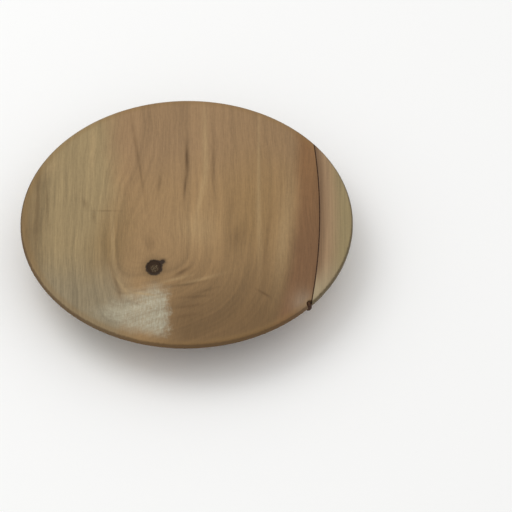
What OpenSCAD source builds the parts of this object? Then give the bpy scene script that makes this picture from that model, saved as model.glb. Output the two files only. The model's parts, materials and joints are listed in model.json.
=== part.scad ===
// Round rolling board: two planks edge-glued on a bowed joint, standing on three screwed feet.
// X runs across the grain and Y along it, and Z points up from the floor under the feet.

/* [Board] */
// Diameter of the board across its rim
board_d = 240; // [200:1:300]
// Thickness of both planks
board_t = 16; // [15:0.5:24]
// Radius of the rounded upper edge
edge_round = 2.5; // [1.5:0.25:4]
// Height of the upright band below the rounded edge
rim_land = 1; // [0.5:0.25:3]
// How far the underside is cut in from the rim, as a finger hold
undercut = 13; // [8:0.5:16]

/* [Joint] */
// Width of the side plank on the board's centre line
side_plank_w = 24; // [22:1:40]
// Radius of the bow that the joint follows
seam_r = 600; // [450:10:900]
// Turn of the joint about the middle of its bow, in degrees
seam_turn = 0.85; // [0:0.05:2]
// Thickness of the glue between the planks
glue_t = 0.8; // [0.4:0.1:1.4]
// Depth of the glue below the rolling face
glue_sink = 0.5; // [0.2:0.1:1]
// Radius of the chip worn out of the main plank where the joint meets the rim
chip_r = 3.5; // [2:0.25:5]

/* [Dowels] */
// Diameter of the dowels across the joint
dowel_d = 6; // [5:0.5:7]
// Length of each dowel
dowel_len = 18; // [14:1:19]
// Distance between the two dowels
dowel_pitch = 60; // [30:1:70]
// Chamfer on the dowels' ends
dowel_chamfer = 0.8; // [0.4:0.1:1.2]
// Free depth left for glue beyond each end of a dowel
dowel_gap = 0.5; // [0.2:0.1:0.8]

/* [Feet] */
// Height of each foot
foot_h = 20; // [17:0.5:22]
// Diameter of a foot where it meets the board
foot_top_d = 34; // [28:1:40]
// Diameter of a foot at the floor
foot_base_d = 30; // [26:1:34]
// Diameter of a foot at its waist
foot_waist_d = 25; // [22:0.5:26]
// Height of the straight collar at each end of a foot
foot_collar = 2; // [1:0.25:3]
// Radius of the rounding at the floor
foot_round = 1; // [0.5:0.1:1.5]
// Height of the turned ring line above the floor
ring_line_z = 4.5; // [4:0.25:6]
// Radius of the turned ring line
ring_line_r = 0.5; // [0.3:0.1:0.8]
// Distance from a foot to the edge of the underside
foot_inset = 6; // [3:0.5:12]

/* [Screws] */
// Diameter of the screws over their thread
screw_d = 4; // [3.5:0.25:4.5]
// Length of the screws, head included
screw_len = 25; // [22:0.5:26]
// Diameter of the countersunk heads
screw_head_d = 8; // [7:0.25:8.5]
// Height of the straight rim of a head
screw_head_rim = 0.4; // [0.2:0.1:0.8]
// Length of the pointed tip
screw_tip = 4; // [3:0.5:6]
// Diameter left at the very point
screw_point_d = 0.6; // [0.4:0.1:1]
// Depth of a head's face above the floor
screw_sink = 7; // [6:0.5:8]
// Width across the driver's cross
cross_w = 4.2; // [3.4:0.1:4.6]
// Thickness of the driver's blades
cross_t = 0.9; // [0.6:0.1:1.2]
// Depth of the driver's cross
cross_depth = 1.6; // [1:0.1:2]
// Diameter of the hole that lets a driver reach the head
access_d = 9; // [8.75:0.25:11]
// Radial play of a screw where it passes through a foot
screw_play = 0.2; // [0.1:0.05:0.4]

/* [Knot] */
// Place of the knot across the grain
knot_x = -23; // [-40:1:20]
// Place of the knot along the grain
knot_y = -46; // [-60:1:-10]
// Diameter of the knot at the rolling face, square to its own axis
knot_d = 10; // [6:0.5:14]
// Diameter that the knot tapers to at the underside
knot_end_d = 6; // [4:0.5:9]
// Lean of the knot along the grain, in degrees
knot_lean = 38; // [0:1:45]
// Depth of the knot below the rolling face
knot_sink = 0.3; // [0.1:0.1:0.6]

/* [Hidden] */
$fn = 96;

// Colours
main_wood = [0.62, 0.52, 0.39];
side_wood = [0.60, 0.54, 0.43];
dark_glue = [0.24, 0.15, 0.09];
knot_wood = [0.25, 0.17, 0.11];
dowel_wood = [0.72, 0.60, 0.42];
foot_wood = [0.60, 0.49, 0.34];
screw_steel = [0.66, 0.65, 0.62];

// Room that a cutting shape runs past the face that it cuts
past = 1;

// Levels and radii of the board
board_r = board_d / 2;
under_z = foot_h;
top_z = foot_h + board_t;
mid_z = foot_h + board_t / 2;
under_r = board_r - undercut;
land_z = top_z - edge_round - rim_land;

// Centre of the bow, which passes side_plank_w in from the rim on the centre line
seam_centre = [
    board_r - side_plank_w - seam_r * cos(seam_turn),
    seam_r * sin(seam_turn)
];

// Where the bow meets the rim at the front, as a meeting of two circles
seam_reach = norm(seam_centre);
chord_along = (pow(board_r, 2) - pow(seam_r, 2) + pow(seam_reach, 2)) / (2 * seam_reach);
chord_half = sqrt(pow(board_r, 2) - pow(chord_along, 2));
seam_toward = seam_centre / seam_reach;
front_corner = chord_along * seam_toward + chord_half * [-seam_toward.y, seam_toward.x];

// Feet, by the direction of each from the board's axis, in degrees
foot_ring_r = under_r - foot_inset - foot_top_d / 2;
back_foot_angle = 90;
left_foot_angle = 210;
right_foot_angle = 330;

// Angles at which the screws' crosses came to rest, in degrees
back_cross_angle = 20;
left_cross_angle = 65;
right_cross_angle = 5;

// Cove of a foot: a circle through both collars and the waist, on the slanted side
foot_side_r = (foot_top_d + foot_base_d) / 4;
cove_half = foot_h / 2 - foot_collar;
cove_depth = foot_side_r - foot_waist_d / 2;
cove_r = (pow(cove_half, 2) + pow(cove_depth, 2)) / (2 * cove_depth);
cove_x = foot_waist_d / 2 + cove_r;

// Screw lengths along its axis, from the head's face
screw_cone = (screw_head_d - screw_d) / 2;
shank_start = screw_head_rim + screw_cone;

// Distance from the board's centre line to the joint, at a place along the grain
function seam_x(y) = seam_centre.x + sqrt(pow(seam_r, 2) - pow(y - seam_centre.y, 2));

// Radius of a foot's cove at a height above the floor
function cove_side(z) = cove_x - sqrt(pow(cove_r, 2) - pow(z - foot_h / 2, 2));

// Outline of the board from its axis to the rim: rounded above, cut in below
module board_profile() {
    polygon([
        [0, under_z],
        [under_r, under_z],
        [board_r, land_z],
        [board_r, top_z - edge_round],
        [board_r - edge_round, top_z],
        [0, top_z]
    ]);
    translate([board_r - edge_round, top_z - edge_round])
        circle(r = edge_round);
}

// The whole board before it is parted along the joint
module board_blank() {
    rotate_extrude()
        board_profile();
}

// Everything on the main plank's side of the joint, grown by an offset
module main_side(grow) {
    translate([seam_centre.x, seam_centre.y, under_z - past])
        cylinder(r = seam_r + grow, h = board_t + 2 * past, $fn = 256);
}

// A dowel, or with play at its ends the hole that takes it
module dowel_shape(y, end_play, chamfer) {
    length = dowel_len + 2 * end_play;
    translate([seam_x(y) - length / 2, y, mid_z])
        rotate([0, 90, 0])
            rotate_extrude()
                polygon([
                    [0, 0],
                    [dowel_d / 2 - chamfer, 0],
                    [dowel_d / 2, chamfer],
                    [dowel_d / 2, length - chamfer],
                    [dowel_d / 2 - chamfer, length],
                    [0, length]
                ]);
}

module dowel_holes() {
    for (side = [-1, 1])
        dowel_shape(side * dowel_pitch / 2, dowel_gap, 0);
}

// Puts a shape that stands on the origin under the board at a foot's place
module at_foot(direction) {
    rotate([0, 0, direction])
        translate([foot_ring_r, 0, 0])
            children();
}

// A screw standing on its head, whose face is at the origin: its shank and point
module screw_shank(play) {
    translate([0, 0, shank_start - play])
        cylinder(r = screw_d / 2 + play, h = screw_len - screw_tip - shank_start + play);
    translate([0, 0, screw_len - screw_tip])
        cylinder(d1 = screw_d, d2 = screw_point_d, h = screw_tip);
}

module screw_head() {
    cylinder(d = screw_head_d, h = screw_head_rim);
    translate([0, 0, screw_head_rim])
        cylinder(d1 = screw_head_d, d2 = screw_d, h = screw_cone);
}

module driver_cross() {
    for (turn = [0, 90])
        rotate([0, 0, turn])
            translate([-cross_w / 2, -cross_t / 2, -past])
                cube([cross_w, cross_t, cross_depth + past]);
}

// The knot's cone, longer than the plank is thick at both ends
module knot_cone() {
    along = board_t / cos(knot_lean);
    taper = (knot_d - knot_end_d) / 2 / along;
    reach = knot_d * sin(knot_lean) + past;
    translate([knot_x, knot_y, top_z])
        rotate([-knot_lean, 0, 0])
            translate([0, 0, -along - reach])
                cylinder(
                    r1 = knot_end_d / 2 - reach * taper,
                    r2 = knot_d / 2 + reach * taper,
                    h = along + 2 * reach
                );
}

// Larger plank, with the holes for the knot, the dowels and the screws
module main_plank() {
    color(main_wood)
        difference() {
            intersection() {
                board_blank();
                main_side(-glue_t / 2);
            }
            knot_cone();
            dowel_holes();
            for (direction = [back_foot_angle, left_foot_angle, right_foot_angle])
                at_foot(direction)
                    translate([0, 0, screw_sink])
                        screw_shank(0);
            translate([front_corner.x, front_corner.y, under_z - past])
                cylinder(r = chip_r, h = board_t + 2 * past);
        }
}

// Narrow plank beyond the joint
module side_plank() {
    color(side_wood)
        difference() {
            board_blank();
            main_side(glue_t / 2);
            dowel_holes();
        }
}

// Dark glue that fills the joint to just below the rolling face
module seam_glue() {
    color(dark_glue)
        difference() {
            intersection() {
                board_blank();
                main_side(glue_t / 2);
                translate([-board_r, -board_r, under_z - past])
                    cube([board_d, board_d, board_t - glue_sink + past]);
            }
            main_side(-glue_t / 2);
            dowel_holes();
            translate([front_corner.x, front_corner.y, under_z - past])
                cylinder(r = chip_r, h = board_t + 2 * past);
        }
}

// Dead knot, which stays in its hole as a plug
module knot() {
    color(knot_wood)
        intersection() {
            knot_cone();
            translate([knot_x - board_r, knot_y - board_r, under_z])
                cube([board_d, board_d, board_t - knot_sink]);
        }
}

module joint_dowel(side) {
    color(dowel_wood)
        dowel_shape(side * dowel_pitch / 2, 0, dowel_chamfer);
}

// Outline of a foot from its axis: slanted side, rounded at the floor
module foot_profile() {
    difference() {
        union() {
            polygon([
                [0, 0],
                [foot_base_d / 2 - foot_round, 0],
                [foot_base_d / 2, foot_round],
                [foot_top_d / 2, foot_h],
                [0, foot_h]
            ]);
            translate([foot_base_d / 2 - foot_round, foot_round])
                circle(r = foot_round);
        }
        translate([cove_x, foot_h / 2])
            circle(r = cove_r);
        translate([cove_side(ring_line_z), ring_line_z])
            circle(r = ring_line_r, $fn = 24);
    }
}

module foot(direction) {
    color(foot_wood)
        at_foot(direction)
            difference() {
                rotate_extrude()
                    foot_profile();
                translate([0, 0, -past])
                    cylinder(d = access_d, h = screw_sink + screw_head_rim + past);
                translate([0, 0, screw_sink])
                    screw_head();
                translate([0, 0, screw_sink + shank_start - past])
                    cylinder(r = screw_d / 2 + screw_play, h = foot_h);
            }
}

module foot_screw(direction, cross_angle) {
    color(screw_steel)
        at_foot(direction)
            translate([0, 0, screw_sink])
                difference() {
                    union() {
                        screw_head();
                        screw_shank(0);
                    }
                    rotate([0, 0, cross_angle])
                        driver_cross();
                }
}

main_plank();
side_plank();
seam_glue();
knot();
joint_dowel(-1);  // dowel_front
joint_dowel(1);  // dowel_back
foot(back_foot_angle);  // foot_back
foot(left_foot_angle);  // foot_left
foot(right_foot_angle);  // foot_right
foot_screw(back_foot_angle, back_cross_angle);  // screw_back
foot_screw(left_foot_angle, left_cross_angle);  // screw_left
foot_screw(right_foot_angle, right_cross_angle);  // screw_right
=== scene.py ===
"""Round rolling board of two planks on three turned feet, finished as worn oiled wood.

Sizes and places are in millimetres, and MM turns them into Blender's metres.
"""

import json
import logging
import math
from dataclasses import dataclass, field
from enum import Enum
from typing import ClassVar, NamedTuple

import bpy
from mathutils import Matrix, Vector


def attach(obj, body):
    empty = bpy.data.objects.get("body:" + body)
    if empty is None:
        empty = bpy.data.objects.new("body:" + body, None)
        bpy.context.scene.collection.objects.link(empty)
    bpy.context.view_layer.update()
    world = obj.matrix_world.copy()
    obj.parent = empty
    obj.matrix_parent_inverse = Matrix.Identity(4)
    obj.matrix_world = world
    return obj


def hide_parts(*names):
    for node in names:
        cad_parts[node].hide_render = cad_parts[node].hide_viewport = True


LOG = logging.getLogger("rolling_board")
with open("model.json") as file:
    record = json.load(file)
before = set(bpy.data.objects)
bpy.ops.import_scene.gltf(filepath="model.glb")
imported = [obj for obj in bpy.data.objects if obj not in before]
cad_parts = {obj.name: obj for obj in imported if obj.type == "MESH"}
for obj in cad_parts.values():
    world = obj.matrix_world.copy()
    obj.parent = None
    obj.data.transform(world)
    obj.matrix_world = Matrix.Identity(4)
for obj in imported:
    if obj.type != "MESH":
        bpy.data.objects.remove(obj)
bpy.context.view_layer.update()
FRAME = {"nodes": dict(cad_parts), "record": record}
MM = 0.001
BODY = "root"
NOISE_MIDDLE = 0.5
Socket = bpy.types.NodeSocket


class Tone(NamedTuple):
    """A colour as it shows on a screen, each part from 0 to 255."""

    red: int
    green: int
    blue: int

    def linear(self) -> tuple[float, ...]:
        """Return the linear colour that a shader takes, with an alpha of 1."""
        parts = [part / 255 for part in self]
        return *(part / 12.92 if part <= 0.04045 else ((part + 0.055) / 1.055) ** 2.4 for part in parts), 1.0


class Value:
    """A number socket of a node tree, which takes part in arithmetic."""

    def __init__(self, tree: "Tree", socket: Socket) -> None:
        """Keep the socket and the maker of its tree's nodes."""
        self.tree = tree
        self.socket = socket

    def __add__(self, other: "Number") -> "Value":
        """Return the sum."""
        return self.tree.math("ADD", self, other)

    def __sub__(self, other: "Number") -> "Value":
        """Return the difference."""
        return self.tree.math("SUBTRACT", self, other)

    def __rsub__(self, other: float) -> "Value":
        """Return a plain number less the value."""
        return self.tree.math("SUBTRACT", other, self)

    def __mul__(self, other: "Number") -> "Value":
        """Return the product."""
        return self.tree.math("MULTIPLY", self, other)

    def __truediv__(self, other: "Number") -> "Value":
        """Return the quotient."""
        return self.tree.math("DIVIDE", self, other)

    def __neg__(self) -> "Value":
        """Return the value with its sign changed."""
        return self.tree.math("MULTIPLY", self, -1.0)

    __radd__ = __add__
    __rmul__ = __mul__


Number = Value | float
Colour = Socket | Tone | tuple[float, ...]


class Tree:
    """Makes the nodes of one shader or geometry tree."""

    MIX_SHARE: ClassVar[int] = 0
    MIX_UNDER: ClassVar[int] = 6
    MIX_OVER: ClassVar[int] = 7
    MIX_COLOUR: ClassVar[int] = 2
    SMOOTH: ClassVar[dict[str, str]] = {"interpolation_type": "SMOOTHSTEP"}

    def __init__(self, nodes: bpy.types.NodeTree) -> None:
        """Keep the node tree that is filled."""
        self.nodes = nodes

    def node(self, kind: str, settings: dict | None = None, inputs: dict | None = None) -> bpy.types.Node:
        """Make any node.

        Args:
            kind: Type name of the node.
            settings: Properties of the node, set before its sockets.
            inputs: Wrapped values, sockets, tones or plain values, by socket name or index.

        Returns:
            The new node.
        """
        made = self.nodes.nodes.new(kind)
        for name, value in (settings or {}).items():
            setattr(made, name, value)
        for key, value in (inputs or {}).items():
            if isinstance(value, Value):
                self.nodes.links.new(value.socket, made.inputs[key])
            elif isinstance(value, Socket):
                self.nodes.links.new(value, made.inputs[key])
            elif isinstance(value, Tone):
                made.inputs[key].default_value = value.linear()
            else:
                made.inputs[key].default_value = value
        return made

    def math(self, operation: str, *values: Number) -> Value:
        """Work out one Math operation on one to three values."""
        made = self.node("ShaderNodeMath", {"operation": operation}, dict(enumerate(values)))
        return Value(self, made.outputs[0])

    def ramp(self, value: Number, low: Number, high: Number, start: float = 0.0, end: float = 1.0) -> Value:
        """Turn the rising range of a value from low to high smoothly into the one from start to end."""
        made = self.node("ShaderNodeMapRange", self.SMOOTH, {0: value, 1: low, 2: high, 3: start, 4: end})
        return Value(self, made.outputs[0])

    def bell(self, square: Value) -> Value:
        """Return a bell curve, 1 at its middle, of a squared distance."""
        return self.math("POWER", math.e, -square)

    def hypot(self, a: Value, b: Value) -> Value:
        """Return the length of a vector with two parts."""
        return self.math("SQRT", a * a + b * b)

    def vector(self, x: Number, y: Number, z: Number) -> Socket:
        """Return a vector socket made of three parts."""
        return self.node("ShaderNodeCombineXYZ", None, {0: x, 1: y, 2: z}).outputs[0]

    def split(self, vector: Socket) -> list[Value]:
        """Return the three parts of a vector socket."""
        parts = self.node("ShaderNodeSeparateXYZ", None, {0: vector}).outputs
        return [Value(self, part) for part in parts]

    def blend(self, under: Colour, over: Colour, share: Number, way: str = "MIX") -> Socket:
        """Mix two colours.

        Args:
            under: Colour where the share is 0.
            over: Colour that comes over it.
            share: How much of the upper colour counts.
            way: How the two mix.

        Returns:
            The mixed colour.
        """
        reads = {self.MIX_SHARE: share, self.MIX_UNDER: under, self.MIX_OVER: over}
        mix = self.node("ShaderNodeMix", {"data_type": "RGBA", "blend_type": way}, reads)
        return mix.outputs[self.MIX_COLOUR]

    def shade(self, colour: Colour, amount: Value) -> Socket:
        """Return a colour made darker or lighter by an amount around 1."""
        grey = self.node("ShaderNodeCombineColor", None, {0: amount, 1: amount, 2: amount}).outputs[0]
        return self.blend(colour, grey, 1.0, "MULTIPLY")


@dataclass(frozen=True)
class Place:
    """Where a finish is on its piece: object coordinates in millimetres."""

    x: Value
    y: Value
    z: Value

    @classmethod
    def of(cls, tree: Tree) -> "Place":
        """Read the object coordinates of a shader tree."""
        source = tree.node("ShaderNodeTexCoord").outputs["Object"]
        return cls(*(part * (1 / MM) for part in tree.split(source)))

    @property
    def tree(self) -> Tree:
        """Return the maker of the tree's nodes."""
        return self.x.tree


@dataclass(frozen=True)
class Grain:
    """Noise in a material, by its cells to the millimetre across, along and through the wood.

    A level makes it the same through the wood: the noise's slice at that height.
    """

    across: float
    along: float
    through: float = 1.0
    layers: float = 3.0
    roughness: float = 0.55
    level: float | None = None

    def at(self, place: Place, sway: Number = 0.0) -> Value:
        """Read the noise, which is about 0.5 on average.

        Args:
            place: Where it is read.
            sway: How far it is pushed across, in cells.

        Returns:
            The noise.
        """
        tree = place.tree
        height = place.z * self.through if self.level is None else self.level
        spot = tree.vector(place.x * self.across + sway, place.y * self.along, height)
        reads = {"Vector": spot, "Scale": 1.0, "Detail": self.layers, "Roughness": self.roughness}
        return Value(tree, tree.node("ShaderNodeTexNoise", {"noise_dimensions": "3D"}, reads).outputs[0])


def swing(noise: Value, reach: float) -> Value:
    """Return a noise as a change to either side of 0, its whole range being the reach."""
    return (noise - NOISE_MIDDLE) * reach


@dataclass(frozen=True)
class Fade:
    """A smooth change from 0 to its height between two places, which may lie either way round."""

    start: float
    end: float
    height: float = 1.0

    def at(self, place: Value) -> Value:
        """Return the fade at a place, in millimetres."""
        (low, start), (high, end) = sorted([(self.start, 0.0), (self.end, self.height)])
        return place.tree.ramp(place, low, high, start, end)


@dataclass(frozen=True)
class Hump:
    """A bell curve, 1 at its middle and about a third at its width to either side."""

    middle: float
    width: float

    def at(self, place: Value) -> Value:
        """Return the curve at a place."""
        offset = (place - self.middle) * (1 / self.width)
        return place.tree.bell(offset * offset)


@dataclass(frozen=True)
class Zone:
    """A broad tone of the wood, and where on its plank it shows."""

    tone: Tone
    across: Fade | Hump | None = None
    along: Fade | Hump | None = None
    strength: float = 1.0
    slant: float = 0.0

    def lay(self, colour: Colour, at: Place) -> Colour:
        """Lay the zone's tone over a colour.

        Args:
            colour: The colour under it.
            at: Where it is read.

        Returns:
            The colour with the zone.
        """
        reads = ((self.across, at.x), (self.along, at.y - at.x * self.slant))
        shares = (shape.at(value) for shape, value in reads if shape)
        return at.tree.blend(colour, self.tone, math.prod(shares, start=self.strength))


@dataclass(frozen=True)
class Streak:
    """One mark on the rolling face, a long soft spot that is turned from the grain."""

    x: float
    y: float
    length: float
    width: float
    turn: float = 0.0
    strength: float = 0.5

    def share(self, at: Place) -> Value:
        """Return how strongly the mark shows.

        Args:
            at: Where it is read.

        Returns:
            From 0 to the mark's strength.
        """
        x, y = at.x - self.x, at.y - self.y
        cosine = math.cos(math.radians(self.turn))
        sine = math.sin(math.radians(self.turn))
        across = (x * cosine + y * sine) * (1 / self.width)
        along = (y * cosine - x * sine) * (1 / self.length)
        return at.tree.bell(across * across + along * along) * self.strength


@dataclass(frozen=True)
class Marks:
    """A group of streaks in one tone, frayed along the grain."""

    tone: Tone
    streaks: tuple[Streak, ...]
    fray: Grain = Grain(0.9, 0.1, roughness=0.65, level=5.0)
    least: float = 0.45
    fray_strength: float = 1.1
    limit: float = 0.9

    def share(self, at: Place) -> Value:
        """Return how strongly the group shows at a place, before its limit."""
        total = sum(streak.share(at) for streak in self.streaks)
        return total * (self.least + self.fray.at(at) * self.fray_strength)

    def lay(self, colour: Colour, share: Value) -> Colour:
        """Return a colour with the group's tone over it."""
        return share.tree.blend(colour, self.tone, share.tree.math("MINIMUM", share, self.limit))


PITCH_STREAKS = (
    Streak(-0.3, 60, 15, 1.5, 1, 0.75),
    Streak(-1.5, 33, 13, 1.1, -3, 0.6),
    Streak(-20, 36, 9, 1.2, -6, 0.35),
)
LONG_LINES = (
    Streak(19, 55, 26, 1.3, 0, 0.35),
    Streak(-36, 62, 40, 1.5, 8, 0.35),
)
RIM_LINES = (
    Streak(-108, 20, 46, 1.6, 0, 0.35),
    Streak(-101, 15, 22, 1.0, 4, 0.3),
)
CROSSED_CUTS = (
    Streak(-73.5, 16, 5, 2.4, 20, 0.28),
    Streak(-67, 4, 5, 1.1, 0, 0.35),
    Streak(-58, 9, 9, 0.9, 90, 0.3),
)
RIPPLES_BY_KNOT = (
    Streak(-3, -50, 6.5, 1.6, -52, 0.6),
    Streak(-2, -62.5, 12, 1.3, -78, 0.65),
    Streak(6, -74, 12, 1.4, -84, 0.35),
    Streak(2, -83, 11, 1.5, -80, 0.35),
    Streak(0, -92, 9, 1.6, -76, 0.3),
    Streak(14, -68, 10, 1.2, -70, 0.25),
)
NICK = (Streak(56, -71, 6, 1.1, 52, 0.55),)
# Darker spots in front of and behind the knot, and two broad ones to its right.
DARK_SPOTS = (
    Streak(-22, -60, 5, 2.6, 90, 0.3),
    Streak(-26, -23, 9, 3.6, 0, 0.28),
    Streak(36, -17, 15, 7.5, -16, 0.32),
    Streak(32, 12, 20, 3.5, -6, 0.2),
)
DARK_FIGURE = (
    Streak(58, -20, 40, 1.6, -5, 0.3),
    Streak(-50.5, -58, 18, 1.8, 14),
    Streak(-37, -80, 9, 1.6, 68, 0.22),
)
PALE_LINES = (
    Streak(-69, 72, 30, 2.0, 0, 0.4),
    Streak(13, 72, 40, 2.2, 1, 0.4),
    Streak(10, 25, 26, 2.0, -8, 0.35),
    Streak(52, 60, 50, 1.1, 0, 0.35),
    Streak(52, 0, 40, 2.2, 1, 0.3),
    Streak(70, -15, 48, 5.0, -5, 0.35),
)
PALE_FIGURE = (
    Streak(-53, -22, 26, 1.6, 2, 0.45),
    Streak(-46, -63, 12, 1.5, 28, 0.45),
    Streak(-31, -71, 10, 1.2, 80),
    Streak(8, -8, 16, 13, 20, 0.3),
    Streak(-9, -57.5, 12, 1.4, -72, 0.35),
    Streak(10, -57.5, 16, 1.6, -70, 0.3),
    Streak(-99, 52, 9, 4.0, -20, 0.35),
)
DARK_STREAKS = (
    PITCH_STREAKS + LONG_LINES + RIM_LINES + CROSSED_CUTS + RIPPLES_BY_KNOT + NICK + DARK_SPOTS + DARK_FIGURE
)

FAR_END = Zone(Tone(152, 125, 96), along=Fade(20, 80))
GOLDEN_RIGHT = Zone(Tone(147, 119, 81), Hump(48, 26), Hump(5, 60), 0.7)
BROWN_FRONT = Zone(Tone(119, 94, 64), Fade(-38, 4), Fade(-8, -106), slant=0.12)
# Painted sheen: the left side lighter and greyer, as a veil of reflected light.
PAINTED_SHEEN_LEFT = Zone(Tone(157, 139, 107), Fade(-42, -68))
OLIVE_LEFT = Zone(Tone(130, 108, 74), Hump(-52, 14), Hump(-25, 34), 0.75)
GREY_CORNER = Zone(Tone(141, 130, 110), Fade(-32, -52), Fade(-22, -75), 0.85)
BROWN_EDGE = Zone(Tone(119, 99, 71), Fade(-96, -114), Fade(75, 40), 0.8)
MAIN_ZONES = (FAR_END, GOLDEN_RIGHT, BROWN_FRONT, PAINTED_SHEEN_LEFT, OLIVE_LEFT, GREY_CORNER, BROWN_EDGE)


@dataclass(frozen=True)
class Surface:
    """What a finish gives the shader: its colour, its gloss and the height of its bumps."""

    colour: Colour
    roughness: Number
    height: Number
    metallic: float = 0.0


@dataclass(frozen=True)
class Finish:
    """A procedural finish, whose look its subclasses write."""

    name: str
    specular: float = 0.22
    bump_height: float = 0.25
    bump_strength: float = 0.6
    tint: tuple[float, float, float, float] = (0.935, 0.885, 0.76, 1.0)

    def material(self) -> bpy.types.Material:
        """Build the finish's material.

        Returns:
            The material.
        """
        made = bpy.data.materials.new(self.name)
        made.use_nodes = True
        made.node_tree.nodes.clear()
        tree = Tree(made.node_tree)
        surface = self.look(Place.of(tree))
        reads = {"Strength": self.bump_strength, "Distance": self.bump_height * MM, "Height": surface.height}
        bump = tree.node("ShaderNodeBump", None, reads)
        reads = {
            "Base Color": tree.blend(surface.colour, self.tint, 1.0, "MULTIPLY"),
            "Roughness": surface.roughness,
            "Metallic": surface.metallic,
            "Specular IOR Level": self.specular,
            "Normal": bump.outputs[0],
        }
        shader = tree.node("ShaderNodeBsdfPrincipled", None, reads)
        tree.node("ShaderNodeOutputMaterial", None, {0: shader.outputs[0]})
        return made

    def look(self, at: Place) -> Surface:
        """Return the look of the finish at a place."""
        raise NotImplementedError


@dataclass(frozen=True)
class Figure:
    """The growth rings of the wide plank: U shapes that close towards the front."""

    top: float = 36.0
    heart_x: float = -15.0
    closing_y: float = -30.0
    closing_blend: float = 18.0
    closing_squash: float = 0.8
    closing_reach: Hump = Hump(10.0, 75.0)
    depth_squash: float = 0.5
    drift: Grain = Grain(0.02, 0.012, 0.02, layers=2.0)
    drift_reach: float = 16.0
    lean: Fade = Fade(105.0, -20.0, height=21.0)
    lean_reach: Hump = Hump(-44.0, 26.0)

    def rings(self, at: Place) -> Value:
        """Return the distance from the heart of the tree, warped as the figure runs.

        Args:
            at: Where it is read.

        Returns:
            The distance in millimetres.
        """
        tree = at.tree
        drift = swing(self.drift.at(at), self.drift_reach)
        lean = self.lean.at(at.y) * self.lean_reach.at(at.x)
        across = at.x + lean + drift - self.heart_x
        below = tree.math("SMOOTH_MAX", self.closing_y - at.y, 0.0, self.closing_blend)
        depth = (self.top - at.z) * self.depth_squash
        near = self.closing_reach.at(at.x)
        closing = below * self.closing_squash * tree.math("SQRT", near) + depth
        return tree.hypot(across, closing)


@dataclass(frozen=True)
class BrownBand:
    """The red-brown heartwood beside the joint, whose edge bows away from it towards the front, with a
    painted highlight near its front end.
    """

    edge_x: float = 79.5
    bow_from_y: float = 40.0
    bow_span: float = 100.0
    bow: float = 8.0
    fade: Fade = Fade(-5.0, 6.0)
    waver: Grain = Grain(0.05, 0.03, layers=1.0, level=7.0)
    waver_reach: float = 5.0
    far_tone: Tone = Tone(131, 98, 67)
    near_zone: Zone = Zone(Tone(121, 90, 64), along=Fade(60, -40))
    # Painted highlight: a pale spot on the band by the chip at the joint's front end.
    painted_highlight: Zone = Zone(Tone(158, 143, 128), Hump(84, 8), Hump(-80, 12), 0.55)

    def lay(self, colour: Colour, at: Place) -> Colour:
        """Lay the band and its painted highlight over a colour.

        Args:
            colour: The colour under it.
            at: Where it is read.

        Returns:
            The colour with the band.
        """
        tree = at.tree
        bow = tree.math("MAXIMUM", self.bow_from_y - at.y, 0.0) * (1 / self.bow_span)
        edge = self.edge_x - bow * bow * self.bow
        waver = swing(self.waver.at(at), self.waver_reach)
        share = self.fade.at(at.x - edge + waver)
        inner = self.near_zone.lay(self.far_tone, at)
        # The painted highlight is laid last.
        return self.painted_highlight.lay(tree.blend(colour, inner, share), at)


@dataclass(frozen=True)
class PaintedReflectionPatch:
    """Painted reflection: the pale place at the front left, where a soft sheen of light is painted into the
    colour and the wood is glossier.
    """

    # Colour of the painted reflection.
    tone: Tone = Tone(182, 184, 174)
    rag: Grain = Grain(0.16, 0.16, layers=5.0, roughness=0.7, level=1.0)
    rag_reach: float = 30.0
    right: Fade = Fade(-9.0, -17.0)
    right_rag: float = 0.5
    left: Fade = Fade(-104.0, -24.0)
    far: Fade = Fade(-54.0, -78.0)
    far_rag: float = 0.6
    peak_x: float = -22.0
    slope: float = 0.5
    rim: Fade = Fade(117.5, 104.0)
    rim_rag: float = 0.3
    cover: float = 0.62
    limit: float = 0.9
    gloss: float = 0.16

    def share(self, at: Place) -> Value:
        """Return how strongly the painted reflection shows, from 0 to 1.

        Args:
            at: Where it is read.

        Returns:
            The share of the painted reflection.
        """
        tree = at.tree
        ragged = swing(self.rag.at(at), self.rag_reach)
        right = self.right.at(at.x + ragged * self.right_rag)
        left = self.left.at(at.x + ragged)
        roof = tree.math("ABSOLUTE", at.x - self.peak_x) * self.slope
        far = self.far.at(at.y + ragged * self.far_rag + roof)
        rim = self.rim.at(tree.hypot(at.x, at.y) + ragged * self.rim_rag)
        return right * left * far * rim


@dataclass(frozen=True)
class KnotHalo:
    """The darker wood round the knot, with a small bark pocket beside it."""

    centre: tuple[float, float] = (-23.0, -46.0)
    squeeze: float = 1.25
    rag: Grain = Grain(0.5, 0.4, level=2.0)
    rag_reach: float = 3.0
    halo: Fade = Fade(15.0, 6.5)
    halo_tone: Tone = Tone(112, 90, 62)
    halo_strength: float = 0.55
    bark: Fade = Fade(8.6, 6.9)
    bark_tone: Tone = Tone(48, 33, 18)
    pocket: Streak = Streak(-17.2, -40.6, 2.6, 2.0, -35, 1.6)
    pocket_rag: float = 0.4

    def lay(self, colour: Colour, at: Place, face: Value) -> tuple[Colour, Value]:
        """Lay the halo and the bark over a colour.

        Args:
            colour: The colour under them.
            at: Where it is read.
            face: 1 on the rolling face and 0 below it.

        Returns:
            The colour, and where the bark is.
        """
        tree = at.tree
        ragged = swing(self.rag.at(at), self.rag_reach)
        away = tree.hypot((at.x - self.centre[0]) * self.squeeze, at.y - self.centre[1]) + ragged
        halo = self.halo.at(away) * face
        pocket = self.pocket.share(Place(at.x + ragged * self.pocket_rag, at.y, at.z)) * face
        bark = self.bark.at(away) * face + pocket
        colour = tree.blend(colour, self.halo_tone, halo * self.halo_strength)
        return tree.blend(colour, self.bark_tone, tree.math("MINIMUM", bark, 1.0)), bark


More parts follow.
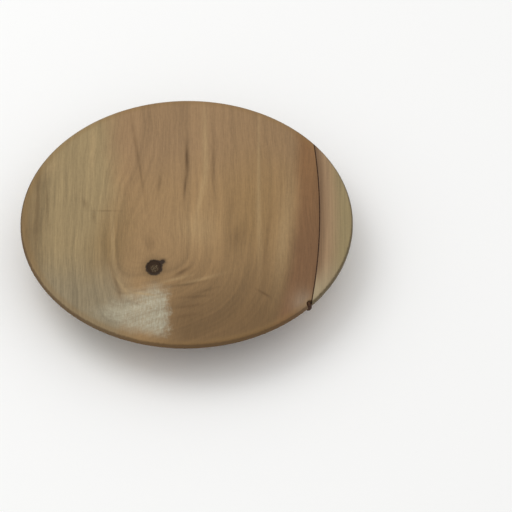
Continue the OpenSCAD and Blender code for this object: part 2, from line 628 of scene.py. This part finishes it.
@dataclass(frozen=True)
class PaintedRimShade:
    """Painted shade: a dark band on the rim of a plank, where the rounded edge turns away from the light."""

    tone: Tone
    strength: float
    rim: float = 120.0
    width: float = 1.7
    full_width: float = 0.4
    rag_reach: float = 1.6

    def share(self, radius: Value, fuzz: Value) -> Value:
        """Return how strongly the painted rim shade shows at a distance from the board's axis, frayed by a
        noise.
        """
        fade = Fade(self.rim - self.width, self.rim - self.full_width)
        return fade.at(radius + swing(fuzz, self.rag_reach))


@dataclass(frozen=True)
class MainWood(Finish):
    """Oiled wood of the wide plank: U-shaped figure, knot and brown band, with painted light: a pale painted
    reflection at the front left, painted sheen on the left, a painted highlight by the joint and painted
    shade on the rim.
    """

    ground: Tone = Tone(158, 130, 96)
    wander: Grain = Grain(0.03, 0.014, layers=2.0, level=3.0)
    wander_reach: float = 26.0
    figure: Figure = Figure()
    broad: Grain = Grain(0.085, 0.004, 0.02, layers=2.0)
    lines: Grain = Grain(0.34, 0.009, 0.03, layers=4.0, roughness=0.62)
    fibre: Grain = Grain(2.6, 0.06, 0.9, roughness=0.6)
    fibre_sway: float = 0.6
    flecks: Grain = Grain(0.8, 0.16, 0.5, roughness=0.65)
    fuzz: Grain = Grain(0.5, 0.5, 0.5, layers=4.0, roughness=0.6)
    line_strength: float = 0.55
    left_lines: Fade = Fade(-40.0, -80.0)
    left_line_strength: float = 0.25
    band: BrownBand = BrownBand()
    # Painted reflection at the front left.
    reflection_patch: PaintedReflectionPatch = PaintedReflectionPatch()
    dark: Marks = Marks(Tone(88, 64, 38), DARK_STREAKS)
    pale: Marks = Marks(Tone(182, 158, 122), PALE_LINES + PALE_FIGURE)
    halo: KnotHalo = KnotHalo()
    # Painted shade on the rim.
    painted_rim_shade: PaintedRimShade = PaintedRimShade(Tone(86, 66, 46), 0.72)
    face: Fade = Fade(31.0, 34.0)
    border: Fade = Fade(113.0, 117.5)
    border_face: Fade = Fade(30.0, 33.0)
    border_tone: Tone = Tone(140, 112, 72)
    border_strength: float = 0.35
    gloss: float = 0.56

    def look(self, at: Place) -> Surface:
        """Return the look of the plank at a place.

        Args:
            at: The place.

        Returns:
            Its colour, roughness and bump.
        """
        tree = at.tree
        rings = self.figure.rings(at)
        ringed = Place(rings, at.y, at.z)
        broad = self.broad.at(ringed)
        lines = self.lines.at(ringed)
        fibre = self.fibre.at(at, rings * self.fibre_sway)
        flecks = self.flecks.at(at)
        fuzz = self.fuzz.at(at)

        wander = swing(self.wander.at(at), self.wander_reach)
        wandered = Place(at.x + wander, at.y + wander, at.z)
        colour = self.ground
        for zone in MAIN_ZONES:
            colour = zone.lay(colour, wandered)
        colour = self.band.lay(colour, at)

        face = self.face.at(at.z)
        # Painted reflection: a pale sheen laid into the colour at the front left, frayed by the grain.
        reflection_patch = self.reflection_patch.share(at) * face
        texture = swing(flecks, 0.9) + swing(fuzz, 0.5) + swing(lines, 0.8)
        painted_reflection = reflection_patch * (self.reflection_patch.cover + texture)
        colour = tree.blend(colour, self.reflection_patch.tone, tree.math("MINIMUM", painted_reflection, self.reflection_patch.limit))

        dark = self.dark.share(at) * face
        pale = self.pale.share(at) * face
        colour = self.pale.lay(self.dark.lay(colour, dark), pale)

        strength = self.line_strength + self.left_lines.at(at.x) * self.left_line_strength
        tone = swing(broad, 0.5) + swing(lines, 0.9) * strength + swing(fibre, 0.5)
        tone = tone + swing(flecks, 0.3) + swing(fuzz, 0.2)
        colour = tree.shade(colour, 1.0 + tone)

        colour, bark = self.halo.lay(colour, at, face)
        radius = tree.hypot(at.x, at.y)
        frayed = radius + swing(fuzz, self.painted_rim_shade.rag_reach) * 2.0
        border = self.border.at(frayed) * self.border_face.at(at.z)
        colour = tree.blend(colour, self.border_tone, border * self.border_strength)
        # Painted shade on the rim, laid over the colour.
        painted_rim_shade = self.painted_rim_shade.share(radius, fuzz)
        colour = tree.blend(colour, self.painted_rim_shade.tone, painted_rim_shade * self.painted_rim_shade.strength)
        roughness = self.gloss - reflection_patch * self.reflection_patch.gloss + swing(fuzz, 0.25) + painted_rim_shade * 0.1
        height = lines * 0.5 + fibre * 0.35 + flecks * 0.2 - dark * 0.5 - bark * 0.4
        return Surface(colour, roughness, height)


@dataclass(frozen=True)
class SideWood(Finish):
    """Oiled wood of the narrow plank: straight fine grain, greener towards its rim, with a painted shadow
    along the joint towards its front end and painted shade on its rim.
    """

    seam_x: float = 96.0
    seam_middle_y: float = 8.9
    seam_r: float = 600.0
    lines: Grain = Grain(0.45, 0.006, 0.05, layers=4.0, roughness=0.62)
    fibre: Grain = Grain(2.6, 0.05, 0.9, roughness=0.6)
    fuzz: Grain = Grain(0.5, 0.5, 0.5, layers=4.0, roughness=0.6)
    ground: Tone = Tone(158, 132, 106)
    zones: tuple[Zone, ...] = (
        Zone(Tone(148, 134, 103), across=Fade(5, 18)),
        Zone(Tone(160, 147, 124), along=Fade(-30, -75)),
        # Painted shadow: darker along the joint towards the front end.
        Zone(Tone(116, 90, 68), Fade(7.5, 0.5), Fade(-70, -40), 0.85),
    )
    # Painted shade on the rim.
    painted_rim_shade: PaintedRimShade = PaintedRimShade(Tone(84, 72, 48), 0.85)
    gloss: float = 0.52

    def look(self, at: Place) -> Surface:
        """Return the look of the plank at a place.

        Args:
            at: The place.

        Returns:
            Its colour, roughness and bump.
        """
        tree = at.tree
        bow = (at.y - self.seam_middle_y) * (1 / self.seam_r)
        from_seam = at.x - self.seam_x + bow * bow * (self.seam_r / 2)
        lines = self.lines.at(at)
        fibre = self.fibre.at(at)
        fuzz = self.fuzz.at(at)
        colour = self.ground
        for zone in self.zones:
            colour = zone.lay(colour, Place(from_seam, at.y, at.z))
        tone = swing(lines, 0.8) + swing(fibre, 0.4) + swing(fuzz, 0.2)
        colour = tree.shade(colour, 1.0 + tone)
        # Painted shade on the rim.
        painted_rim_shade = self.painted_rim_shade.share(tree.hypot(at.x, at.y), fuzz)
        colour = tree.blend(colour, self.painted_rim_shade.tone, painted_rim_shade * self.painted_rim_shade.strength)
        return Surface(colour, self.gloss + swing(fuzz, 0.25), lines * 0.5 + fibre * 0.4)


@dataclass(frozen=True)
class TurnedWood(Finish):
    """Wood of a turned foot or dowel, with fine tool lines on a foot."""

    pale: Tone = Tone(150, 122, 84)
    dark: Tone = Tone(112, 84, 52)
    dark_from: Fade = Fade(0.42, 0.68)
    lines: Grain = Grain(0.5, 0.06, 0.5, layers=4.0, roughness=0.6)
    fibre: Grain = Grain(2.4, 0.2, 2.4, roughness=0.6)
    tool_lines: float = 1.0
    tool_rate: float = 14.0
    gloss: float = 0.5

    def look(self, at: Place) -> Surface:
        """Return the look of the turning at a place.

        Args:
            at: The place.

        Returns:
            Its colour, roughness and bump.
        """
        tree = at.tree
        lines = self.lines.at(at)
        fibre = self.fibre.at(at)
        tool = tree.math("SINE", at.z * self.tool_rate) * self.tool_lines
        colour = tree.blend(self.pale, self.dark, self.dark_from.at(lines))
        colour = tree.shade(colour, 1.0 + swing(fibre, 0.4) + tool * 0.02)
        return Surface(colour, self.gloss + swing(fibre, 0.3), fibre * 0.6 + tool * 0.12)


@dataclass(frozen=True)
class KnotWood(Finish):
    """Dry dark knot: close rings round its own heart, with grey crumbs in the middle."""

    heart: tuple[float, float] = (-22.6, -46.4)
    squeeze: float = 1.27
    rag: Grain = Grain(0.6, 0.6, 0.1)
    rag_reach: float = 3.0
    ring_rate: float = 2.6
    crumbs: Grain = Grain(0.9, 0.7, 0.3, roughness=0.7)
    middle: Fade = Fade(4.6, 2.2)
    bark_tone: Tone = Tone(50, 34, 18)
    ring_tone: Tone = Tone(74, 58, 40)
    crumb_from: Fade = Fade(0.5, 0.6)
    crumb_tone: Tone = Tone(118, 106, 86)
    crumb_strength: float = 0.8
    gloss: float = 0.75

    def look(self, at: Place) -> Surface:
        """Return the look of the knot at a place.

        Args:
            at: The place.

        Returns:
            Its colour, roughness and bump.
        """
        tree = at.tree
        ragged = swing(self.rag.at(at), self.rag_reach)
        away = tree.hypot((at.x - self.heart[0]) * self.squeeze, at.y - self.heart[1]) + ragged
        rings = tree.math("SINE", away * self.ring_rate) * 0.5 + 0.5
        crumbs = self.crumbs.at(at)
        middle = self.middle.at(away)
        colour = tree.blend(self.bark_tone, self.ring_tone, middle * rings)
        grey = self.crumb_from.at(crumbs) * middle
        colour = tree.blend(colour, self.crumb_tone, grey * self.crumb_strength)
        return Surface(colour, self.gloss - grey * 0.1, rings * 0.4 + crumbs)


@dataclass(frozen=True)
class Clouded(Finish):
    """A finish that is duller in patches: old glue with dust in it, also on the dark bead that stands in for
    the chip's shadow, or zinc plate.
    """

    cloud: Grain = Grain(0.8, 0.5, 0.8)
    scratches: Grain = Grain(4.0, 0.7, 0.7, layers=2.0)
    tone: Tone = Tone(58, 34, 18)
    patch_tone: Tone = Tone(98, 70, 46)
    patch_from: Fade = Fade(0.45, 0.75)
    gloss: float = 0.45
    cloud_gloss: float = 0.3
    cloud_height: float = 1.0
    scratch_height: float = 0.0
    metallic: float = 0.0

    def look(self, at: Place) -> Surface:
        """Return the look of the finish at a place.

        Args:
            at: The place.

        Returns:
            Its colour, roughness and bump.
        """
        cloud = self.cloud.at(at)
        colour = at.tree.blend(self.tone, self.patch_tone, self.patch_from.at(cloud))
        height = self.scratches.at(at) * self.scratch_height + cloud * self.cloud_height
        return Surface(colour, self.gloss + cloud * self.cloud_gloss, height, self.metallic)


class Slot(Enum):
    """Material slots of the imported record."""

    MAIN = "main_wood"
    SIDE = "side_wood"
    GLUE = "glue"
    KNOT = "knot_wood"
    DOWEL = "dowel_wood"
    FOOT = "foot_wood"
    STEEL = "screw_steel"


@dataclass
class Board:
    """The planks, glue, knot and dowels, which keep their CAD shapes, and every finish."""

    finishes: dict[Slot, bpy.types.Material] = field(default_factory=dict)

    def build(self) -> None:
        """Make every finish's material."""
        dowel = TurnedWood("dowel_wood", pale=Tone(184, 156, 112), dark=Tone(160, 130, 88), tool_lines=0.0)
        zinc = Clouded(
            "zinc_plate",
            tint=(1.0, 1.0, 1.0, 1.0),
            cloud=Grain(0.6, 0.6, 0.6, layers=4.0, roughness=0.65),
            tone=Tone(176, 174, 166),
            patch_tone=Tone(128, 124, 116),
            patch_from=Fade(0.4, 0.65),
            gloss=0.3,
            cloud_gloss=0.25,
            cloud_height=0.3,
            scratch_height=0.4,
            metallic=1.0,
        )
        self.finishes = {
            Slot.MAIN: MainWood("oiled_main_wood").material(),
            Slot.SIDE: SideWood("oiled_side_wood").material(),
            Slot.GLUE: Clouded("old_glue_and_chip_shade").material(),
            Slot.KNOT: KnotWood("dead_knot", specular=0.2).material(),
            Slot.DOWEL: dowel.material(),
            Slot.FOOT: TurnedWood("foot_wood").material(),
            Slot.STEEL: zinc.material(),
        }

    def dress(self) -> None:
        """Give each CAD node that stays its finish; the feet and screws are made anew."""
        for entry in sorted(FRAME["record"]["subparts"], key=lambda row: row["node"]):
            slot = Slot(entry["material_slot"])
            if slot in (Slot.FOOT, Slot.STEEL):
                continue
            node = FRAME["nodes"][entry["node"]]
            node.data.materials.clear()
            node.data.materials.append(self.finishes[slot])
            LOG.info("%s has the finish %s", entry["node"], slot.value)


def add(name: str, data: bpy.types.ID) -> bpy.types.Object:
    """Put a new object in the scene.

    Args:
        name: Name of the object.
        data: Its mesh, lamp or camera.

    Returns:
        The object.
    """
    made = bpy.data.objects.new(name, data)
    bpy.context.scene.collection.objects.link(made)
    return made


def new_group(name: str, sockets: dict[str, str]) -> bpy.types.NodeTree:
    """Start a Geometry Nodes tree that makes one piece.

    Args:
        name: Name of the tree.
        sockets: Kind of each input, by name.

    Returns:
        The empty tree.
    """
    group = bpy.data.node_groups.new(name, "GeometryNodeTree")
    for socket, kind in sockets.items():
        group.interface.new_socket(socket, in_out="INPUT", socket_type=f"NodeSocket{kind}")
    group.interface.new_socket("Piece", in_out="OUTPUT", socket_type="NodeSocketGeometry")
    return group


def end_group(tree: Tree, shape: Socket, finish: Socket) -> None:
    """End a Geometry Nodes tree: make its shape plain and give it its finish.

    Args:
        tree: Maker of the nodes.
        shape: The shape that the tree made.
        finish: The material.
    """
    plain = tree.node("GeometryNodeRealizeInstances", None, {"Geometry": shape}).outputs[0]
    finished = tree.node("GeometryNodeSetMaterial", None, {"Geometry": plain, "Material": finish})
    tree.node("NodeGroupOutput", None, {0: finished.outputs[0]})


def grow(
    name: str, start: bpy.types.Mesh, group: bpy.types.NodeTree, values: dict, at: Vector
) -> bpy.types.Object:
    """Run a Geometry Nodes tree on a mesh and leave the result as a plain mesh.

    Args:
        name: Name of the piece.
        start: What the tree starts from.
        group: The tree.
        values: Values of its inputs, by name.
        at: Where the tree's origin goes, in millimetres.

    Returns:
        The object, at the origin and unturned.
    """
    piece = add(name, start)
    modifier = piece.modifiers.new("growth", "NODES")
    modifier.node_group = group
    for item in group.interface.items_tree:
        if item.in_out == "INPUT" and item.name in values:
            modifier[item.identifier] = values[item.name]
    piece.update_tag()
    graph = bpy.context.evaluated_depsgraph_get()
    plain = bpy.data.meshes.new_from_object(piece.evaluated_get(graph))
    piece.modifiers.remove(modifier)
    piece.data = plain
    plain.transform(Matrix.Translation(at * MM))
    LOG.info("%s has %d faces", name, len(plain.polygons))
    return piece


@dataclass(frozen=True)
class Thread:
    """A screw thread that a lathe adds to a core, by height above the head's face."""

    pitch: float = 1.8
    depth: float = 0.5
    start: float = 6.0
    run_in: float = 1.0
    end: float = 21.0
    run_out: float = 3.5
    least_radius: float = 0.1
    phase_shift: float = 8.0

    SOCKETS: ClassVar[tuple[str, ...]] = ("Thread Pitch", "Thread Depth", "Thread Start", "Thread End")

    def values(self) -> dict[str, float]:
        """Return the values of the thread's inputs, in metres."""
        sizes = (self.pitch, self.depth, self.start, self.end)
        return {name: size * MM for name, size in zip(self.SOCKETS, sizes)}

    def swell(
        self, tree: Tree, given: bpy.types.NodeOutputs, radius: Value, height: Value, turn: Value
    ) -> Value:
        """Return a core's radius with the thread on it.

        Args:
            tree: Maker of the nodes.
            given: Inputs of the tree.
            radius: Radius of the core.
            height: Height of each point.
            turn: Angle of each point, from 0 to 1.

        Returns:
            The radius.
        """
        pitch, depth, start, end = (Value(tree, given[name]) for name in self.SOCKETS)
        phase = tree.math("FRACT", height / pitch - turn + self.phase_shift)
        crest = 1.0 - tree.math("ABSOLUTE", phase * 2.0 - 1.0)
        starts = tree.ramp(height, start, start + self.run_in * MM)
        ends = tree.ramp(height, end, end + self.run_out * MM, 1.0, 0.0)
        off_axis = tree.math("GREATER_THAN", radius, self.least_radius * MM)
        return radius + crest * starts * ends * off_axis * depth


@dataclass(frozen=True)
class DriverCross:
    """The cross that a driver fits, sunk into a screw's head."""

    angle: float
    length: float = 4.2
    width: float = 0.9
    depth: float = 1.6

    SOCKETS: ClassVar[tuple[str, ...]] = ("Cross Angle",)

    def values(self) -> dict[str, float]:
        """Return the value of the cross's input, in radians."""
        return {self.SOCKETS[0]: math.radians(self.angle)}

    def cut(
        self, tree: Tree, given: bpy.types.NodeOutputs, solid: Socket
    ) -> Socket:
        """Cut the cross into the end that lies at height 0.

        Args:
            tree: Maker of the nodes.
            given: Inputs of the tree.
            solid: The solid that is cut.

        Returns:
            The solid with its cross.
        """
        settings = {"operation": "DIFFERENCE", "solver": "EXACT"}
        cut = tree.node("GeometryNodeMeshBoolean", settings, {"Mesh 1": solid})
        size = Vector((self.length, self.width, 2 * self.depth)) * MM
        for quarter in (0.0, math.pi / 2):
            block = tree.node("GeometryNodeMeshCube", None, {"Size": size}).outputs[0]
            angle = Value(tree, given[self.SOCKETS[0]]) + quarter
            reads = {"Geometry": block, "Rotation": tree.vector(0.0, 0.0, angle)}
            turned = tree.node("GeometryNodeTransform", None, reads).outputs[0]
            tree.nodes.links.new(turned, cut.inputs["Mesh 2"])
        return cut.outputs[0]


@dataclass(frozen=True)
class Lathe:
    """Geometry Nodes tree that turns a profile about the upright axis."""

    facets: int = 96
    thread: Thread | None = None
    cross: DriverCross | None = None
    crease_angle: float = 0.6
    weld: float = 0.001

    SOCKETS: ClassVar[dict[str, str]] = {"Profile": "Geometry", "Facets": "Int", "Finish": "Material"}

    def tree(self) -> bpy.types.NodeTree:
        """Build the tree.

        Returns:
            The tree.
        """
        extras = [name for extra in (self.thread, self.cross) if extra for name in extra.SOCKETS]
        group = new_group("lathe", self.SOCKETS | dict.fromkeys(extras, "Float"))
        tree = Tree(group)
        given = tree.node("NodeGroupInput").outputs
        turned = self.turned(tree, given)
        if self.cross:
            turned = self.cross.cut(tree, given, turned)
        smooth = tree.node("GeometryNodeSetShadeSmooth", {"domain": "FACE"}, {"Geometry": turned}).outputs[0]
        angle = Value(tree, tree.node("GeometryNodeInputMeshEdgeAngle").outputs[0])
        sharp = tree.math("GREATER_THAN", angle, self.crease_angle)
        reads = {"Geometry": smooth, "Selection": sharp, "Shade Smooth": False}
        creased = tree.node("GeometryNodeSetShadeSmooth", {"domain": "EDGE"}, reads).outputs[0]
        end_group(tree, creased, given["Finish"])
        return group

    def turned(self, tree: Tree, given: bpy.types.NodeOutputs) -> Socket:
        """Wrap a grid round the axis, one row for each point of the profile.

        Args:
            tree: Maker of the nodes.
            given: Inputs of the tree.

        Returns:
            The turned shape.
        """
        profile = given["Profile"]
        facets = Value(tree, given["Facets"])
        size = tree.node("GeometryNodeAttributeDomainSize", {"component": "MESH"}, {"Geometry": profile})
        rows = Value(tree, size.outputs["Point Count"])
        reads = {"Vertices X": facets + 1.0, "Vertices Y": rows}
        grid = tree.node("GeometryNodeMeshGrid", None, reads).outputs[0]
        index = Value(tree, tree.node("GeometryNodeInputIndex").outputs[0])
        column = tree.math("FLOOR", (index + 0.5) / rows)
        position = tree.node("GeometryNodeInputPosition").outputs[0]
        reads = {"Geometry": profile, "Value": position, "Index": index - column * rows}
        sampled = tree.node("GeometryNodeSampleIndex", {"data_type": "FLOAT_VECTOR"}, reads).outputs[0]
        radius, _, height = tree.split(sampled)
        turn = column / facets
        if self.thread:
            radius = self.thread.swell(tree, given, radius, height, turn)
        angle = turn * (2 * math.pi)
        place = tree.vector(radius * tree.math("COSINE", angle), radius * tree.math("SINE", angle), height)
        reads = {"Geometry": grid, "Position": place}
        wrapped = tree.node("GeometryNodeSetPosition", None, reads).outputs[0]
        reads = {"Geometry": wrapped, "Distance": self.weld * MM}
        return tree.node("GeometryNodeMergeByDistance", None, reads).outputs[0]

    def piece(
        self, name: str, profile: list[tuple[float, float]], finish: bpy.types.Material, at: Vector
    ) -> bpy.types.Object:
        """Turn one piece and leave it as a plain mesh.

        Args:
            name: Name of the piece.
            profile: Radius and height of each point, upwards along the outside.
            finish: Material of the piece.
            at: Where its axis meets its height 0.

        Returns:
            The object, at the origin and unturned.
        """
        mesh = bpy.data.meshes.new(name)
        points = [(radius * MM, 0.0, height * MM) for radius, height in profile]
        mesh.from_pydata(points, [(i, i + 1) for i in range(len(points) - 1)], [])
        values = {"Facets": self.facets, "Finish": finish}
        for extra in (self.thread, self.cross):
            if extra:
                values.update(extra.values())
        return grow(name, mesh, self.tree(), values, at)


@dataclass(frozen=True)
class Screw:
    """Countersunk wood screw, by height above its head's face."""

    length: float = 25.0
    head_r: float = 4.0
    head_edge: float = 0.15
    head_rim: float = 0.4
    cone: float = 2.0
    thread_r: float = 2.0
    neck_r: float = 1.9
    shank_r: float = 1.75
    shank_step: float = 0.3
    core_r: float = 1.4
    point_r: float = 0.25
    row: float = 0.15
    core_rows: int = 97
    point_rows: int = 26
    facets: int = 48
    thread: Thread = Thread()

    def seat(self) -> float:
        """Return the height at which the head's cone ends."""
        return self.head_rim + self.cone

    def profile(self) -> list[tuple[float, float]]:
        """Return the outline from the head's face to the point, without the thread.

        Returns:
            Radius and height of each point.
        """
        core_from = self.thread.start + self.shank_step
        core_to = core_from + self.core_rows * self.row
        outline = [
            (0.0, 0.0),
            (self.head_r - self.head_edge, 0.0),
            (self.head_r, self.head_edge),
            (self.head_r, self.head_rim),
            (self.neck_r, self.seat()),
            (self.shank_r, self.seat() + self.shank_step),
            (self.shank_r, self.thread.start),
            (self.core_r, core_from),
        ]
        outline += [(self.core_r, core_from + self.row * i) for i in range(1, self.core_rows + 1)]
        narrowing = (self.core_r - self.point_r) / self.point_rows
        for i in range(1, self.point_rows + 1):
            outline.append((self.core_r - narrowing * i, core_to + self.row * i))
        return outline + [(0.0, self.length)]


@dataclass(frozen=True)
class Foot:
    """Turned foot: slanted side, cove, turned line, and a bore for its screw."""

    screw: Screw
    height: float = 20.0
    base_r: float = 15.0
    top_r: float = 17.0
    floor_round: float = 1.0
    waist_r: float = 12.5
    cove_half: float = 8.0
    cove_depth: float = 3.5
    line_z: float = 4.5
    line_r: float = 0.5
    access_r: float = 4.5
    access_chamfer: float = 0.4
    bore_r: float = 2.2
    sink: float = 7.0
    rows: int = 160

    def side(self, height: float) -> float:
        """Return the foot's radius at a height.

        Args:
            height: Height above the floor.

        Returns:
            The radius.
        """
        if height < self.floor_round:
            rise = self.floor_round - height
            return self.base_r - self.floor_round + math.sqrt(self.floor_round**2 - rise**2)
        share = (height - self.floor_round) / (self.height - self.floor_round)
        radius = self.base_r + (self.top_r - self.base_r) * share
        cove_r = (self.cove_half**2 + self.cove_depth**2) / (2 * self.cove_depth)
        middle = height - self.height / 2
        if abs(middle) < cove_r:
            radius = min(radius, self.waist_r + cove_r - math.sqrt(cove_r**2 - middle**2))
        off_line = height - self.line_z
        if abs(off_line) < self.line_r:
            radius -= math.sqrt(self.line_r**2 - off_line**2)
        return radius

    def profile(self) -> list[tuple[float, float]]:
        """Return the closed outline, up the outside and down the bore.

        Returns:
            Radius and height of each point.
        """
        mouth = (self.access_r + self.access_chamfer, 0.0)
        heights = [self.height * i / self.rows for i in range(self.rows + 1)]
        seat = self.sink + self.screw.head_rim
        head_r = self.screw.head_r
        lead = (head_r - self.bore_r) / (head_r - self.screw.thread_r) * self.screw.cone
        bore = [
            (self.bore_r, self.height),
            (self.bore_r, seat + lead),
            (head_r, seat),
            (self.access_r, seat),
            (self.access_r, self.access_chamfer),
        ]
        return [mouth] + [(self.side(height), height) for height in heights] + bore + [mouth]


class FootPlace(Enum):
    """Angle of each foot about the board's axis, in degrees."""

    BACK = 90
    LEFT = 210
    RIGHT = 330


@dataclass(frozen=True)
class Feet:
    """The three turned feet, each with the screw that holds it."""

    ring_r: float = 84.0
    cross_angles: tuple[float, float, float] = (20.0, 65.0, 5.0)
    screw: Screw = Screw()

    def build(self, board: Board) -> None:
        """Turn every foot and screw in place of the CAD ones.

        Args:
            board: Where the finishes are.
        """
        foot = Foot(self.screw)
        for place, angle in zip(FootPlace, self.cross_angles):
            turn = math.radians(place.value)
            side = place.name.lower()
            centre = Vector((self.ring_r * math.cos(turn), self.ring_r * math.sin(turn), 0.0))
            wood = board.finishes[Slot.FOOT]
            turned = Lathe().piece(f"turned_foot_{side}", foot.profile(), wood, centre)
            self.hand_over(turned, f"foot_{side}", Slot.FOOT)
            lathe = Lathe(self.screw.facets, self.screw.thread, DriverCross(angle))
            steel = board.finishes[Slot.STEEL]
            seated = centre + Vector((0.0, 0.0, foot.sink))
            threaded = lathe.piece(f"wood_screw_{side}", self.screw.profile(), steel, seated)
            self.hand_over(threaded, f"screw_{side}", Slot.STEEL)

    @staticmethod
    def hand_over(piece: bpy.types.Object, node: str, slot: Slot) -> None:
        """Fix a piece to the board in the CAD node's place.

        Args:
            piece: The piece.
            node: The node that it stands for.
            slot: The slot of its finish; not used.
        """
        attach(piece, BODY)
        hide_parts(node)


@dataclass(frozen=True)
class ChipShadeBead:
    """Dark lump in the chip at the joint's front end, put there to stand in for the chip's deep shadow, in
    the glue's finish.
    """

    centre: tuple[float, float, float] = (87.4, -78.6, 31.0)
    radii: tuple[float, float, float] = (2.9, 2.9, 4.6)
    lump: float = 0.25
    subdivisions: int = 5
    dents: Grain = Grain(1.7, 1.7, 1.7)

    SOCKETS: ClassVar[dict[str, str]] = {"Radii": "Vector", "Lump": "Float", "Finish": "Material"}

    def tree(self) -> bpy.types.NodeTree:
        """Build the tree: a ball, stretched and dented by noise.

        Returns:
            The tree.
        """
        group = new_group("chip_shade_bead", self.SOCKETS)
        tree = Tree(group)
        given = tree.node("NodeGroupInput").outputs
        reads = {"Radius": 1.0, "Subdivisions": self.subdivisions}
        ball = tree.node("GeometryNodeMeshIcoSphere", None, reads).outputs[0]
        parts = tree.split(tree.node("GeometryNodeInputPosition").outputs[0])
        scale = 1.0 - self.dents.at(Place(*parts)) * Value(tree, given["Lump"])
        moved = [part * scale * radius for part, radius in zip(parts, tree.split(given["Radii"]))]
        reads = {"Geometry": ball, "Position": tree.vector(*moved)}
        shaped = tree.node("GeometryNodeSetPosition", None, reads).outputs[0]
        smooth = tree.node("GeometryNodeSetShadeSmooth", None, {"Geometry": shaped}).outputs[0]
        end_group(tree, smooth, given["Finish"])
        return group

    def build(self, board: Board) -> None:
        """Make the bead and fix it to the board.

        Args:
            board: Where the finishes are.
        """
        radii = tuple(radius * MM for radius in self.radii)
        # The dark glue finish makes the bead show as the chip's shadow.
        values = {"Radii": radii, "Lump": self.lump, "Finish": board.finishes[Slot.GLUE]}
        start = bpy.data.meshes.new("chip_shade_bead")
        bead = grow("chip_shade_bead", start, self.tree(), values, Vector(self.centre))
        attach(bead, BODY)


@dataclass(frozen=True)
class Studio:
    """Pale floor, soft light and a camera in front of the board, in metres; the lens is in millimetres."""

    elevation: float = 48.01
    distance: float = 4.1075
    aim: tuple[float, float, float] = (0.05003, -0.0178, 0.01698)
    lens: float = 400.0
    clip_end: float = 50.0
    floor_size: float = 6.0
    floor_tone: Tone = Tone(251, 251, 250)
    world_strength: float = 0.82
    lamp_place: tuple[float, float, float] = (-0.9, 0.5, 1.7)
    lamp_size: float = 1.4
    lamp_power: float = 9.0

    def build(self) -> None:
        """Make the camera, the floor, the world and the lamp."""
        self.camera()
        self.floor()
        self.world()
        self.lamp()
        bpy.context.scene.view_settings.view_transform = "Standard"

    def camera(self) -> None:
        """Make the camera, which looks along the grain from the front."""
        data = bpy.data.cameras.new("photo_camera")
        data.lens = self.lens
        data.clip_end = self.clip_end
        camera = add("photo_camera", data)
        lift = math.radians(self.elevation)
        back = Vector((0.0, -math.cos(lift), math.sin(lift)))
        camera.location = Vector(self.aim) + back * self.distance
        camera.rotation_euler = (math.pi / 2 - lift, 0.0, 0.0)
        bpy.context.scene.camera = camera

    def floor(self) -> None:
        """Make the pale floor that the feet stand on."""
        half = self.floor_size / 2
        mesh = bpy.data.meshes.new("floor")
        corners = [(-half, -half, 0), (half, -half, 0), (half, half, 0), (-half, half, 0)]
        mesh.from_pydata(corners, [], [(0, 1, 2, 3)])
        floor = add("floor", mesh)
        matt = bpy.data.materials.new("floor_paint")
        matt.use_nodes = True
        matt.node_tree.nodes.clear()
        tree = Tree(matt.node_tree)
        shader = tree.node("ShaderNodeBsdfDiffuse", None, {"Color": self.floor_tone})
        tree.node("ShaderNodeOutputMaterial", None, {0: shader.outputs[0]})
        mesh.materials.append(matt)

    def world(self) -> None:
        """Light the scene evenly, with a white sky where the camera looks at it."""
        world = bpy.data.worlds.new("studio")
        world.use_nodes = True
        world.node_tree.nodes.clear()
        tree = Tree(world.node_tree)
        seen = Value(tree, tree.node("ShaderNodeLightPath").outputs["Is Camera Ray"])
        strength = seen * (1.0 - self.world_strength) + self.world_strength
        reads = {"Color": (1.0, 1.0, 1.0, 1.0), "Strength": strength}
        sky = tree.node("ShaderNodeBackground", None, reads)
        tree.node("ShaderNodeOutputWorld", None, {0: sky.outputs[0]})
        bpy.context.scene.world = world

    def lamp(self) -> None:
        """Make the soft lamp that faces the board from behind its left side."""
        data = bpy.data.lights.new("key_lamp", "AREA")
        data.size = self.lamp_size
        data.energy = self.lamp_power
        lamp = add("key_lamp", data)
        lamp.location = self.lamp_place
        lamp.rotation_euler = (-Vector(self.lamp_place)).to_track_quat("-Z", "Y").to_euler()


def main() -> None:
    """Build the scene in order."""
    logging.basicConfig(level=logging.INFO, format="%(name)s: %(message)s")
    Studio().build()
    board = Board()
    board.build()
    board.dress()
    Feet().build(board)
    ChipShadeBead().build(board)


if __name__ == "__main__":
    main()
